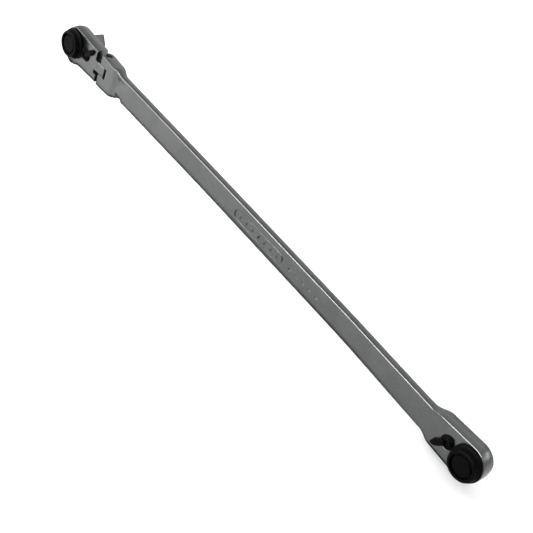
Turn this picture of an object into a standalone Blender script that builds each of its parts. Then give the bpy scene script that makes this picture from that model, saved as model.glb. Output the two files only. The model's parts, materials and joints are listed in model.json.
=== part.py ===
"""Double-ended ratchet wrench: a flat forged handle with a fixed ratchet head that takes 1/4 inch hex
bits at +X, and a tilting ratchet head with a 1/4 inch square drive on a pivot pin at -X.

The wrench stands on its long edge: X along the handle, -Y the side of the finger wheels, +Y the side of
the square drive and the bit socket, Z up. The origin is in the middle of its length and depth, at the
bottom. Units are metres.
"""
import math

import bmesh
import bpy
from mathutils import Matrix, Vector

MM = 0.001
CLEAR = 0.15 * MM

# Overall layout
AXIS_SPAN = 285.2 * MM
PIN_TO_FLEX_AXIS = 24.3 * MM
HEAD_RADIUS = 8.3 * MM
HEAD_END = 8.0 * MM
HEAD_THICK = 6.4 * MM
LOWER_EXTRA = 1.8 * MM
LOBE_DROP = 1.6 * MM
WHEEL_HEIGHT = 4.25 * MM
DRIVE_REACH = 13.2 * MM

# Handle
BAR_THICK = 3.8 * MM
BAR_LIFT_YOKE = 0.35 * MM
BAR_LIFT_WAIST = -0.2 * MM
BAR_LIFT_NECK = 1.05 * MM
BAR_HALF_YOKE = 6.0 * MM
BAR_HALF_WAIST = 5.7 * MM
BAR_HALF_NECK = 6.05 * MM
NECK_HALF = 7.2 * MM
HEAD_EDGE = 0.9 * MM
BAR_EDGE = 0.6 * MM
HEAD_BEVEL = (2.3 * MM, 1.2 * MM)
BAR_BEVEL = (1.6 * MM, 0.9 * MM)

# Yoke and tang
YOKE_HALF_TIP = 7.8 * MM
YOKE_HALF_ROOT = 7.3 * MM
SLOT_HALF = 2.9 * MM
TANG_HALF = 2.55 * MM
SLOT_DEPTH = 4.3 * MM
SHOULDER = 5.5 * MM
LOW_SHOULDER = 3.45 * MM
RELIEF_DROP = 4.8 * MM
TANG_REACH = 2.4 * MM
TANG_EDGE = 0.35 * MM
PIN_RADIUS = 1.45 * MM
PIN_RECESS = 1.2 * MM

# Ratchet works
TEETH = 36
GEAR_RADIUS = 6.0 * MM
TOOTH_DEPTH = 0.5 * MM
JOURNAL_RADIUS = 4.6 * MM
BOSS_RADIUS = 5.0 * MM
GEAR_BORE = 6.35 * MM
RECESS_RADIUS = 6.8 * MM
RING_GROOVE = 7.15 * MM
LEVER_OFFSET = 10.6 * MM
WELL_RADIUS = 3.3 * MM
HUB_RADIUS = 2.7 * MM
STEM_RADIUS = 1.6 * MM
LEVER_REACH = 8.2 * MM
LEVER_ANGLE = math.radians(45.0)
PAWL_OFFSET = 7.45 * MM
POCKET_RADIUS = 6.2 * MM
PAWL_ROCK = math.radians(8.0)

# Finger wheel
WHEEL_RIBS = 24
RIM_RADIUS = 6.8 * MM
RIB_DEPTH = 0.3 * MM
CAP_RADIUS = 4.3 * MM
CAP_RECESS = 5.3 * MM

# Square drive and bit socket
SQUARE = 6.35 * MM
SQUARE_TURN = math.radians(35.0)
HEX_FLATS = 6.45 * MM
BALL_RADIUS = 0.95 * MM

# Places worked out from the sizes above
FIXED_X = AXIS_SPAN / 2.0
FLEX_X = -AXIS_SPAN / 2.0
PIN_X = FLEX_X + PIN_TO_FLEX_AXIS
MID_Y = (HEAD_THICK / 2.0 + WHEEL_HEIGHT - DRIVE_REACH) / 2.0
AXIS_Z = HEAD_RADIUS + LOWER_EXTRA + LOBE_DROP
HALF_T = HEAD_THICK / 2.0
FACE_Y = MID_Y - HALF_T
BACK_Y = MID_Y + HALF_T

# Direction from a head's drive axis towards the handle
HEADS = {"fixed": (FIXED_X, -1.0), "flex": (FLEX_X, 1.0)}


# ---------------------------------------------------------------- materials
def material(name, colour, metallic, roughness):
    mat = bpy.data.materials.new(name)
    mat.use_nodes = True
    shader = mat.node_tree.nodes["Principled BSDF"]
    shader.inputs["Base Color"].default_value = (*colour, 1.0)
    shader.inputs["Metallic"].default_value = metallic
    shader.inputs["Roughness"].default_value = roughness
    return mat


FORGED = ("satin_forging", (0.30, 0.31, 0.31), 1.0, 0.38)
BLACK = ("black_oxide", (0.020, 0.020, 0.021), 0.3, 0.45)
HARD_STEEL = ("hardened_steel", (0.36, 0.36, 0.36), 1.0, 0.32)
SPRING_STEEL = ("spring_steel", (0.45, 0.45, 0.46), 1.0, 0.28)


# ---------------------------------------------------------------- mesh helpers
def finish(name, bm, look):
    """Turns a bmesh into a named object with its own material, its faces pointing out."""
    bmesh.ops.recalc_face_normals(bm, faces=bm.faces)
    mesh = bpy.data.meshes.new(name)
    bm.to_mesh(mesh)
    bm.free()
    mesh.materials.append(material(name + "_" + look[0], *look[1:]))
    mesh.shade_smooth()
    mesh.set_sharp_from_angle(angle=math.radians(32.0))
    obj = bpy.data.objects.new(name, mesh)
    bpy.context.scene.collection.objects.link(obj)
    return obj


def skin(name, rings, look, closed=False):
    """Joins rings of equal length with quads. Open skins get a face over the first and last ring."""
    bm = bmesh.new()
    rows = [[bm.verts.new(point) for point in ring] for ring in rings]
    pairs = list(zip(rows, rows[1:]))
    if closed:
        pairs.append((rows[-1], rows[0]))
    count = len(rows[0])
    for row, following in pairs:
        for i in range(count):
            j = (i + 1) % count
            bm.faces.new((row[i], row[j], following[j], following[i]))
    if not closed:
        bm.faces.new(rows[0])
        bm.faces.new(rows[-1])
    return finish(name, bm, look)


def around_y(centre_x, radius, y, angle, centre_z=AXIS_Z):
    return Vector((centre_x + radius * math.cos(angle), y, centre_z + radius * math.sin(angle)))


def stack(name, centre_x, levels, look, count, closed=False, centre_z=AXIS_Z):
    """Skins levels (y, radius) about an axis along Y. A radius may be a function of the angle."""
    rings = []
    for y, radius in levels:
        ring = []
        for i in range(count):
            angle = 2.0 * math.pi * i / count
            size = radius(angle) if callable(radius) else radius
            ring.append(around_y(centre_x, size, y, angle, centre_z))
        rings.append(ring)
    return skin(name, rings, look, closed)


def prism(name, outline, y0, y1, look):
    """Extrudes an outline of (x, z) points from y0 to y1."""
    return skin(name, [[Vector((x, y, z)) for x, z in outline] for y in (y0, y1)], look)


def rod(name, start, end, radius, look, count=24):
    """A plain round bar from start to end."""
    along = (end - start).normalized()
    side = along.orthogonal().normalized()
    other = along.cross(side)
    rings = []
    for centre in (start, end):
        steps = [2.0 * math.pi * i / count for i in range(count)]
        rings.append([centre + radius * (math.cos(a) * side + math.sin(a) * other) for a in steps])
    return skin(name, rings, look)


def coil(name, start, end, radius, wire, turns, look, steps=9, sides=4):
    """A coil spring from start to end, as a tube that follows a helix."""
    along = (end - start).normalized()
    side = along.orthogonal().normalized()
    other = along.cross(side)
    length = (end - start).length - 2.0 * wire
    rings = []
    total = int(turns * steps)
    for i in range(total + 1):
        angle = 2.0 * math.pi * i / steps
        out = math.cos(angle) * side + math.sin(angle) * other
        centre = start + along * (wire + length * i / total) + radius * out
        ring = []
        for k in range(sides):
            turn = 2.0 * math.pi * k / sides
            ring.append(centre + wire * (math.cos(turn) * out + math.sin(turn) * along))
        rings.append(ring)
    return skin(name, rings, look)


def ball(name, centre, radius, look):
    bm = bmesh.new()
    bmesh.ops.create_icosphere(bm, subdivisions=2, radius=radius, matrix=Matrix.Translation(centre))
    return finish(name, bm, look)


def arc(radius, start, end, count):
    """Points on an arc in degrees, both ends included."""
    points = []
    for i in range(count + 1):
        angle = math.radians(start + (end - start) * i / count)
        points.append((radius * math.cos(angle), radius * math.sin(angle)))
    return points


def c_ring(name, centre_x, inner, outer, y0, y1, gap, look):
    """A flat spring ring with a gap of that many degrees, at the top."""
    start = 90.0 + gap / 2.0
    end = 450.0 - gap / 2.0
    outline = arc(outer, start, end, 30) + arc(inner, end, start, 30)
    return prism(name, [(centre_x + x, AXIS_Z + z) for x, z in outline], y0, y1, look)


def combine(obj, other, operation):
    """Adds an exact Boolean to obj. The other object becomes a hidden guide."""
    modifier = obj.modifiers.new(other.name, "BOOLEAN")
    modifier.operation = operation
    modifier.solver = "EXACT"
    modifier.object = other
    other.hide_render = True
    other.display_type = "WIRE"


def cut(obj, *cutters):
    for cutter in cutters:
        combine(obj, cutter, "DIFFERENCE")


def place_origin(obj, point):
    """Moves the object's origin to a point, leaving its shape where it is."""
    obj.data.transform(Matrix.Translation(-point))
    obj.location = point


# ---------------------------------------------------------------- forgings
def ease(x, start, end):
    """0 at start, 1 at end, with no corner at either."""
    u = min(max((x - start) / (end - start), 0.0), 1.0)
    return u * u * (3.0 - 2.0 * u)


def blend_through(x, points):
    """A smooth run of values through (x, value) points in rising x."""
    value = points[0][1]
    for (x0, v0), (x1, v1) in zip(points, points[1:]):
        if x >= x0:
            value = v0 + (v1 - v0) * ease(x, x0, x1)
    return value


def section(x, low, high, half_t, edge, bevel, lift=0.0, steps=3):
    """A cross-section from low to high in Z and half_t each way in Y, with round edges.

    lift moves it towards the finger wheels' side.
    The lower front edge, where a hand's fingers close on it, has a wider and flatter rounding.
    """
    share = min(1.0, 0.9 * half_t / bevel[1], 0.45 * (high - low) / bevel[0])
    edge = min(edge, half_t * 0.9, (high - low) * 0.45)
    across, deep = bevel[0] * share, bevel[1] * share
    corners = ((high - edge, half_t - edge, edge, edge, 90.0), (low + edge, half_t - edge, edge, edge, 0.0),
               (low + across, deep - half_t, across, deep, -90.0),
               (high - edge, edge - half_t, edge, edge, -180.0))
    ring = []
    for z, y, size_z, size_y, start in corners:
        for i in range(steps + 1):
            angle = math.radians(start - 90.0 * i / steps)
            ring.append(Vector((x, MID_Y - lift + y + size_y * math.cos(angle),
                                z + size_z * math.sin(angle))))
    return ring


def head_half_width(reach, neck_reach, neck_half, radius):
    """Half width of a head at a distance from its drive axis, towards the handle."""
    if reach <= 0.0:
        return radius * math.sqrt(max(1.0 - (reach / HEAD_END) ** 2, 0.0))
    return radius + (neck_half - radius) * reach / neck_reach


def round_end_half_thickness(distance_from_end, half_t, edge):
    """Half thickness where a round end's edges fall away."""
    if distance_from_end >= edge:
        return half_t
    return half_t - edge + math.sqrt(max(edge ** 2 - (edge - distance_from_end) ** 2, 0.0))


END_STEPS = (0.02, 0.12, 0.4, 0.9, 1.7, 2.8, 4.2, 5.8, 7.4)
TIP_STEPS = (0.01, 0.1, 0.35, 0.8, 1.5, 2.3, 3.1)
TANG_STEPS = (0.01, 0.1, 0.35, 1.2, 2.4)


def handle_forging():
    """Yoke, bar and fixed head in one forging, skinned from sections along X."""
    bar_t = BAR_THICK / 2.0
    tip = PIN_X - HALF_T
    yoke_end = PIN_X + 9.2 * MM
    bar_start = PIN_X + 16.0 * MM
    bar_end = FIXED_X - 23.5 * MM
    neck = FIXED_X - 17.3 * MM
    widths = ((PIN_X, YOKE_HALF_TIP), (yoke_end, YOKE_HALF_ROOT), (bar_start, BAR_HALF_YOKE),
              (-20 * MM, BAR_HALF_WAIST), (70 * MM, BAR_HALF_WAIST), (bar_end, BAR_HALF_NECK),
              (neck, NECK_HALF))

    def half_width(x, radius):
        if x > neck:
            return head_half_width(FIXED_X - x, FIXED_X - neck, radius - HEAD_RADIUS + NECK_HALF, radius)
        return blend_through(x, widths)

    lifts = ((yoke_end, 0.0), (bar_start, BAR_LIFT_YOKE), (-20 * MM, BAR_LIFT_WAIST),
             (10 * MM, BAR_LIFT_WAIST), (60 * MM, BAR_LIFT_WAIST), (bar_end, BAR_LIFT_NECK), (neck, 0.0))

    def low_extra(x):
        if x < bar_end:
            return LOWER_EXTRA * (1.0 - 0.7 * ease(x, yoke_end, bar_start))
        return LOWER_EXTRA * (0.3 + 0.7 * ease(x, bar_end, neck))

    def half_thickness(x):
        if x < PIN_X:
            return math.sqrt(HALF_T ** 2 - (x - PIN_X) ** 2)
        if x < bar_end:
            return HALF_T + (bar_t - HALF_T) * ease(x, yoke_end, bar_start)
        if x < neck:
            return bar_t + (HALF_T - bar_t) * ((x - bar_end) / (neck - bar_end)) ** 1.6
        return round_end_half_thickness(FIXED_X + HEAD_END - x, HALF_T, HEAD_EDGE)

    stations = [tip + step * MM for step in TIP_STEPS]
    stations += [yoke_end - 3.0 * MM]
    stations += [yoke_end + (bar_start - yoke_end) * i / 8 for i in range(9)]
    stations += [bar_start + (bar_end - bar_start) * i / 10 for i in range(1, 10)]
    stations += [bar_end + (neck - bar_end) * i / 7 for i in range(8)]
    stations += [neck + 8.0 * MM, FIXED_X]
    stations += [FIXED_X + HEAD_END - step * MM for step in reversed(END_STEPS)]
    rings = []
    for x in stations:
        half_t = half_thickness(x)
        share = min(max((half_t - bar_t) / (HALF_T - bar_t), 0.0), 1.0)
        edge = BAR_EDGE + (HEAD_EDGE - BAR_EDGE) * share
        bevel = [bar + (head - bar) * share for bar, head in zip(BAR_BEVEL, HEAD_BEVEL)]
        if x > neck:
            low = half_width(x, HEAD_RADIUS + LOWER_EXTRA)
        else:
            low = half_width(x, HEAD_RADIUS) + low_extra(x)
        high = half_width(x, HEAD_RADIUS)
        rings.append(section(x, AXIS_Z - low, AXIS_Z + high, half_t, edge, bevel, blend_through(x, lifts)))
    forging = skin("handle_forging", rings, FORGED)

    slot = [(tip - 1.0 * MM, AXIS_Z - SLOT_HALF), (PIN_X + SLOT_DEPTH, AXIS_Z - SLOT_HALF),
            (PIN_X + SLOT_DEPTH, AXIS_Z + SLOT_HALF), (tip - 1.0 * MM, AXIS_Z + SLOT_HALF)]
    cut(forging, prism("slot_cut", slot, FACE_Y - MM, BACK_Y + MM, FORGED))
    cut(forging, pin_hole("yoke_pin_hole"), plunger_hole(), *head_cutters("fixed"))
    return forging


def relief(name, low, high):
    """A block that cuts the head's shoulder back, between two heights from the drive axis."""
    corners = [(PIN_X - SHOULDER, AXIS_Z + low), (PIN_X - 2.0 * MM, AXIS_Z + low),
               (PIN_X - 2.0 * MM, AXIS_Z + high), (PIN_X - SHOULDER, AXIS_Z + high)]
    return prism(name, corners, FACE_Y - MM, BACK_Y + MM, FORGED)


def flex_head_housing():
    """The tilting head: tang, neck and round end, with a lobe low on its round end.

    Its shoulder comes close to the yoke below and is cut back above and beside the tang.
    """
    shoulder = PIN_X - LOW_SHOULDER
    end = FLEX_X - HEAD_END
    lobe_length = 9.5 * MM
    neck_half = NECK_HALF + 0.1 * MM

    def half_width(x, radius):
        return head_half_width(x - FLEX_X, shoulder - FLEX_X, radius - HEAD_RADIUS + neck_half, radius)

    def lobe(x):
        u = min(abs(x - FLEX_X) / lobe_length, 1.0)
        return LOBE_DROP * (0.5 + 0.5 * math.cos(math.pi * u))

    tang = [AXIS_Z - TANG_HALF, AXIS_Z + TANG_HALF]
    rings = []
    for step in TANG_STEPS:
        half_t = round_end_half_thickness(step * MM, HALF_T, TANG_EDGE)
        rings.append(section(PIN_X + TANG_REACH - step * MM, *tang, half_t, TANG_EDGE,
                             (TANG_EDGE, TANG_EDGE)))
    rings.append(section(shoulder, *tang, HALF_T, TANG_EDGE, (TANG_EDGE, TANG_EDGE)))
    neck_stations = [shoulder - 0.001 * MM, shoulder - 0.4 * MM]
    neck_stations += [shoulder + (FLEX_X - shoulder) * i / 10 for i in range(1, 11)]
    neck_stations += [end + step * MM for step in reversed(END_STEPS)]
    for x in neck_stations:
        shy = 0.2 * MM if x > shoulder - 0.1 * MM else 0.0
        half_t = round_end_half_thickness(x - end, HALF_T, HEAD_EDGE) - shy
        low = AXIS_Z - half_width(x, HEAD_RADIUS + LOWER_EXTRA) + shy - lobe(x)
        rings.append(section(x, low, AXIS_Z + half_width(x, HEAD_RADIUS) - shy, half_t, HEAD_EDGE,
                             HEAD_BEVEL))
    housing = skin("flex_head_housing", rings, FORGED)
    cut(housing, relief("upper_relief", TANG_HALF + 0.1 * MM, 12.0 * MM),
        relief("lower_relief", -RELIEF_DROP, -TANG_HALF - 0.1 * MM))
    cut(housing, pin_hole("tang_pin_hole"), *head_cutters("flex"))
    place_origin(housing, Vector((PIN_X, MID_Y, AXIS_Z)))
    return housing


# ---------------------------------------------------------------- cutters
def pin_hole(name):
    reach = YOKE_HALF_TIP + LOWER_EXTRA + MM
    radius = PIN_RADIUS + 0.1 * MM
    low = Vector((PIN_X, MID_Y, AXIS_Z - reach))
    return rod(name, low, low + Vector((0.0, 0.0, 2.0 * reach)), radius, FORGED)


def plunger_hole():
    start = Vector((PIN_X + SLOT_DEPTH - 0.5 * MM, MID_Y, AXIS_Z))
    return rod("plunger_hole", start, start + Vector((7.0 * MM, 0.0, 0.0)), 1.1 * MM, FORGED, 16)


def head_cutters(side):
    """The stepped bore for the gear, the pawl pocket, and the lever's well and stem bore."""
    x, towards = HEADS[side]
    bore = stack(side + "_bore", x,
                 ((FACE_Y - MM, JOURNAL_RADIUS + CLEAR), (MID_Y - 1.95 * MM, JOURNAL_RADIUS + CLEAR),
                  (MID_Y - 1.95 * MM, GEAR_BORE), (MID_Y + 1.35 * MM, GEAR_BORE),
                  (MID_Y + 1.35 * MM, RECESS_RADIUS), (MID_Y + 2.05 * MM, RECESS_RADIUS),
                  (MID_Y + 2.05 * MM, RING_GROOVE), (MID_Y + 2.6 * MM, RING_GROOVE),
                  (MID_Y + 2.6 * MM, RECESS_RADIUS), (BACK_Y + MM, RECESS_RADIUS)), FORGED, 40)
    pocket_x = x + towards * 4.1 * MM
    pocket = stack(side + "_pocket", pocket_x,
                   ((MID_Y - 1.35 * MM, POCKET_RADIUS), (MID_Y + 1.15 * MM, POCKET_RADIUS)), FORGED, 36)
    lever_x = x + towards * LEVER_OFFSET
    well = stack(side + "_well", lever_x,
                 ((FACE_Y - MM, WELL_RADIUS + 0.15 * MM), (FACE_Y, WELL_RADIUS + 0.15 * MM),
                  (FACE_Y + 0.2 * MM, WELL_RADIUS), (FACE_Y + 0.9 * MM, WELL_RADIUS),
                  (FACE_Y + 0.9 * MM, STEM_RADIUS + CLEAR), (MID_Y + 1.25 * MM, STEM_RADIUS + CLEAR)),
                 FORGED, 32)
    return bore, pocket, well


# ---------------------------------------------------------------- ratchet works
def tooth_radius(grow=0.0):
    """Gear outline as a function of the angle: one tooth tip and one root per tooth."""
    def radius(angle):
        half_steps = round(angle * TEETH / math.pi)
        return GEAR_RADIUS + grow - (TOOTH_DEPTH if half_steps % 2 else 0.0)
    return radius


def square_radius(side, corner, turn):
    """A square with cut corners as a function of the angle."""
    def radius(angle):
        local = (angle - turn) % (math.pi / 2.0) - math.pi / 4.0
        flat = side / 2.0 / math.cos(math.pi / 4.0 - abs(local))
        return min(flat, corner / math.cos(local))
    return radius


def square_drive_gear():
    """Ratchet gear and 1/4 inch square drive in one piece, with a cross hole for the ball."""
    corner = SQUARE / 2.0 * 1.36
    tip = square_radius(SQUARE, corner, SQUARE_TURN)
    nose = square_radius(SQUARE - 1.0 * MM, corner - 0.7 * MM, SQUARE_TURN)
    end = MID_Y + DRIVE_REACH
    gear = stack("flex_drive_gear", FLEX_X, journal_levels() + [
        (MID_Y + 3.3 * MM, 4.4 * MM), (MID_Y + 3.6 * MM, 4.25 * MM), (MID_Y + 3.6 * MM, tip),
        (end - 0.6 * MM, tip), (end, nose)], HARD_STEEL, 2 * TEETH)
    cut(gear, screw_hole("flex"))
    middle = ball_centre()
    inward = middle - ball_direction() * 3.2 * MM
    cut(gear, rod("ball_hole", inward, middle + ball_direction() * 2.0 * MM, BALL_RADIUS + 0.1 * MM,
                  HARD_STEEL, 20))
    place_origin(gear, Vector((FLEX_X, MID_Y, AXIS_Z)))
    return gear


def hex_socket_gear():
    """Ratchet gear with a 1/4 inch hex socket and a groove for the bit's retaining ring."""
    gear = stack("fixed_drive_gear", FIXED_X, journal_levels() + [
        (MID_Y + 3.4 * MM, BOSS_RADIUS), (MID_Y + 3.6 * MM, BOSS_RADIUS - 0.2 * MM)], HARD_STEEL, 2 * TEETH)
    hexagon = [(HEX_FLATS / math.sqrt(3.0) * math.cos(math.pi * (i / 3.0 + 0.5)),
                HEX_FLATS / math.sqrt(3.0) * math.sin(math.pi * (i / 3.0 + 0.5))) for i in range(6)]
    outline = [(FIXED_X + x, AXIS_Z + z) for x, z in hexagon]
    socket = prism("hex_cut", outline, FACE_Y + 0.2 * MM, MID_Y + 5.0 * MM, HARD_STEEL)
    groove = stack("ring_cut", FIXED_X, ((MID_Y + 1.6 * MM, 3.95 * MM), (MID_Y + 2.4 * MM, 3.95 * MM)),
                   HARD_STEEL, 36)
    cut(gear, socket, groove, screw_hole("fixed"))
    place_origin(gear, Vector((FIXED_X, MID_Y, AXIS_Z)))
    return gear


def journal_levels():
    """The part of both gears inside the head: front journal, teeth and back journal."""
    teeth = tooth_radius()
    return [(FACE_Y - 1.35 * MM, JOURNAL_RADIUS - 0.2 * MM), (FACE_Y - 1.15 * MM, JOURNAL_RADIUS),
            (MID_Y - 1.75 * MM, JOURNAL_RADIUS), (MID_Y - 1.75 * MM, teeth), (MID_Y + 1.15 * MM, teeth),
            (MID_Y + 1.15 * MM, BOSS_RADIUS)]


def screw_hole(side):
    x = HEADS[side][0]
    return stack(side + "_screw_hole", x, ((FACE_Y - 2.0 * MM, 1.0 * MM), (FACE_Y - 0.35 * MM, 1.0 * MM)),
                 HARD_STEEL, 16)


def ball_direction():
    """The ball looks out of the square's lower outer flat, square to it."""
    return Vector((-math.cos(SQUARE_TURN), 0.0, -math.sin(SQUARE_TURN)))


def ball_centre():
    reach = SQUARE / 2.0 - BALL_RADIUS + 0.45 * MM
    return Vector((FLEX_X, MID_Y + DRIVE_REACH - 3.6 * MM, AXIS_Z)) + ball_direction() * reach


def socket_ball():
    place = ball_centre()
    piece = ball("socket_ball", place, BALL_RADIUS, HARD_STEEL)
    place_origin(piece, place)
    return piece


def socket_ball_spring():
    outer = ball_centre() - ball_direction() * (BALL_RADIUS + 0.05 * MM)
    inner = ball_centre() - ball_direction() * 3.1 * MM
    return coil("socket_ball_spring", inner, outer, 0.6 * MM, 0.13 * MM, 4, SPRING_STEEL)


def bit_retaining_ring():
    return c_ring("bit_retaining_ring", FIXED_X, 3.1 * MM, 3.75 * MM, MID_Y + 1.75 * MM, MID_Y + 2.25 * MM,
                  34.0, SPRING_STEEL)


def cover_plate(side):
    """The plate that closes the works at the back, round the gear's journal."""
    x = HEADS[side][0]
    inner = BOSS_RADIUS + CLEAR
    outer = RECESS_RADIUS - CLEAR
    return stack(side + "_cover_plate", x,
                 ((MID_Y + 1.45 * MM, inner), (MID_Y + 1.45 * MM, outer), (MID_Y + 2.0 * MM, outer),
                  (MID_Y + 2.0 * MM, inner)), HARD_STEEL, 36, closed=True)


def snap_ring(side):
    x = HEADS[side][0]
    return c_ring(side + "_snap_ring", x, 5.75 * MM, RING_GROOVE - 0.1 * MM, MID_Y + 2.12 * MM,
                  MID_Y + 2.53 * MM, 38.0, SPRING_STEEL)


def pawl_outline(x, towards):
    """A crescent round the gear, with a shallow notch in its back for the detent ball to cross."""
    inner = arc(GEAR_RADIUS - 0.6 * MM, -44.0, 44.0, 12)
    back = [(5.6 * MM, 5.15 * MM), (7.3 * MM, 3.6 * MM), (8.35 * MM, 1.8 * MM), (8.05 * MM, 0.0),
            (8.35 * MM, -1.8 * MM), (7.3 * MM, -3.6 * MM), (5.6 * MM, -5.15 * MM)]
    return [(x + towards * px, AXIS_Z + pz) for px, pz in inner + back]


def pawl(side):
    """The rocking pawl. Its teeth are cut as deep as the gear reaches while it rocks."""
    x, towards = HEADS[side]
    pivot = Vector((x + towards * PAWL_OFFSET, MID_Y, AXIS_Z))
    piece = prism(side + "_pawl", pawl_outline(x, towards), MID_Y - 1.15 * MM, MID_Y + 0.95 * MM, HARD_STEEL)
    for i in range(3):
        teeth = tooth_radius(CLEAR)
        guide = stack(f"{side}_tooth_cut_{i}", x, ((MID_Y - 2.0 * MM, teeth), (MID_Y + 2.0 * MM, teeth)),
                      HARD_STEEL, 2 * TEETH)
        turn = Matrix.Rotation(PAWL_ROCK * i / 2.0, 4, "Y")
        guide.data.transform(Matrix.Translation(pivot) @ turn @ Matrix.Translation(-pivot))
        cut(piece, guide)
    cut(piece, stack(side + "_pawl_hole", pivot.x,
                     ((MID_Y - 2.0 * MM, 0.6 * MM), (MID_Y + 2.0 * MM, 0.6 * MM)), HARD_STEEL, 16))
    place_origin(piece, pivot)
    return piece


def pawl_pin(side):
    x, towards = HEADS[side]
    return stack(side + "_pawl_pin", x + towards * PAWL_OFFSET,
                 ((MID_Y - 1.3 * MM, 0.5 * MM), (MID_Y + 1.1 * MM, 0.5 * MM)), HARD_STEEL, 16)


def lever_direction(side):
    """Both levers point away from the wheel: the fixed one down, the flex one up."""
    towards = HEADS[side][1]
    return Vector((towards * math.cos(LEVER_ANGLE), 0.0, towards * math.sin(LEVER_ANGLE)))


def lever_outline(side, hub, reach, tip):
    """A round hub drawn out to a small round tip."""
    x, towards = HEADS[side]
    centre = Vector((x + towards * LEVER_OFFSET, 0.0, AXIS_Z))
    heading = math.degrees(math.atan2(lever_direction(side).z, lever_direction(side).x))
    spread = math.degrees(math.acos((hub - tip) / reach))
    points = arc(hub, heading + spread, heading + 360.0 - spread, 20)
    end = centre + lever_direction(side) * reach
    outline = [(centre.x + px, centre.z + pz) for px, pz in points]
    outline += [(end.x + px, end.z + pz) for px, pz in arc(tip, heading - spread, heading + spread, 6)]
    return outline


def reverse_lever(side):
    """Pointer over the face, hub sunk in the well, and a stem that holds the detent ball."""
    x, towards = HEADS[side]
    hub_x = x + towards * LEVER_OFFSET
    reach = LEVER_REACH - 0.85 * MM
    piece = stack(side + "_reverse_lever", hub_x,
                  ((FACE_Y - 1.2 * MM, HUB_RADIUS - 0.3 * MM), (FACE_Y - 0.9 * MM, HUB_RADIUS),
                   (FACE_Y + 0.75 * MM, HUB_RADIUS), (FACE_Y + 0.75 * MM, STEM_RADIUS),
                   (MID_Y + 1.0 * MM, STEM_RADIUS)), BLACK, 24)
    pointer = prism(side + "_pointer", lever_outline(side, 1.6 * MM, reach, 0.85 * MM), FACE_Y - 1.5 * MM,
                    FACE_Y - 0.2 * MM, BLACK)
    combine(piece, pointer, "UNION")
    middle = Vector((hub_x, MID_Y, AXIS_Z))
    out = -lever_direction(side)
    cut(piece, rod(side + "_detent_hole", middle - out * 0.9 * MM, middle + out * 3.0 * MM, 0.7 * MM, BLACK,
                   16))
    place_origin(piece, Vector((hub_x, FACE_Y, AXIS_Z)))
    return piece


def detent_set(side):
    """Ball and spring in the lever's stem. They lean on the back of the pawl."""
    x, towards = HEADS[side]
    middle = Vector((x + towards * LEVER_OFFSET, MID_Y, AXIS_Z))
    out = -lever_direction(side)
    ball(side + "_detent_ball", middle + out * 1.75 * MM, 0.6 * MM, HARD_STEEL)
    coil(side + "_detent_spring", middle - out * 0.8 * MM, middle + out * 1.1 * MM, 0.42 * MM, 0.1 * MM, 4,
         SPRING_STEEL, 7)


# ---------------------------------------------------------------- finger wheels
def finger_wheel(side):
    """Flange, ribbed flank and a recessed front, with a pocket at the back for the gear's journal."""
    def ribbed(radius):
        def size(angle):
            step = round(angle * WHEEL_RIBS / math.pi)
            return radius - (RIB_DEPTH if step % 2 else 0.0)
        return size

    x = HEADS[side][0]
    profile = ((1.5, 1.1), (1.5, 4.75), (0.35, 4.75), (0.35, 7.4), (0.6, 7.7), (1.15, 7.7), (1.4, 7.45))
    levels = [(FACE_Y - height * MM, radius * MM) for height, radius in profile]
    levels += [(FACE_Y - 1.55 * MM, ribbed(RIM_RADIUS + 0.4 * MM)), (FACE_Y - 3.75 * MM, ribbed(RIM_RADIUS)),
               (FACE_Y - 3.95 * MM, RIM_RADIUS - 0.35 * MM), (FACE_Y - WHEEL_HEIGHT, RIM_RADIUS - 0.6 * MM),
               (FACE_Y - WHEEL_HEIGHT, CAP_RECESS + 0.15 * MM),
               (FACE_Y - WHEEL_HEIGHT + 0.15 * MM, CAP_RECESS), (FACE_Y - 2.6 * MM, CAP_RECESS),
               (FACE_Y - 2.6 * MM, 1.1 * MM)]
    piece = stack(side + "_finger_wheel", x, levels, BLACK, 2 * WHEEL_RIBS, closed=True)
    place_origin(piece, Vector((x, FACE_Y, AXIS_Z)))
    return piece


def wheel_cap(side):
    """A flat disc that hides the wheel's screw."""
    x = HEADS[side][0]
    return stack(side + "_wheel_cap", x, ((FACE_Y - 3.35 * MM, 2.3 * MM), (FACE_Y - 2.75 * MM, 2.3 * MM),
                                          (FACE_Y - 2.75 * MM, CAP_RADIUS), (FACE_Y - 3.75 * MM, CAP_RADIUS),
                                          (FACE_Y - 3.9 * MM, CAP_RADIUS - 0.15 * MM)), BLACK, 32)


def wheel_screw(side):
    x = HEADS[side][0]
    return stack(side + "_wheel_screw", x, ((FACE_Y - 0.55 * MM, 0.85 * MM), (FACE_Y - 2.68 * MM, 0.85 * MM),
                                            (FACE_Y - 2.68 * MM, 2.0 * MM), (FACE_Y - 3.0 * MM, 2.0 * MM),
                                            (FACE_Y - 3.2 * MM, 1.7 * MM)), HARD_STEEL, 24)


# ---------------------------------------------------------------- pivot
def pivot_pin():
    high = YOKE_HALF_TIP - PIN_RECESS
    low = YOKE_HALF_TIP + LOWER_EXTRA - PIN_RECESS
    return rod("pivot_pin", Vector((PIN_X, MID_Y, AXIS_Z - low)), Vector((PIN_X, MID_Y, AXIS_Z + high)),
               PIN_RADIUS, HARD_STEEL)


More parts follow.
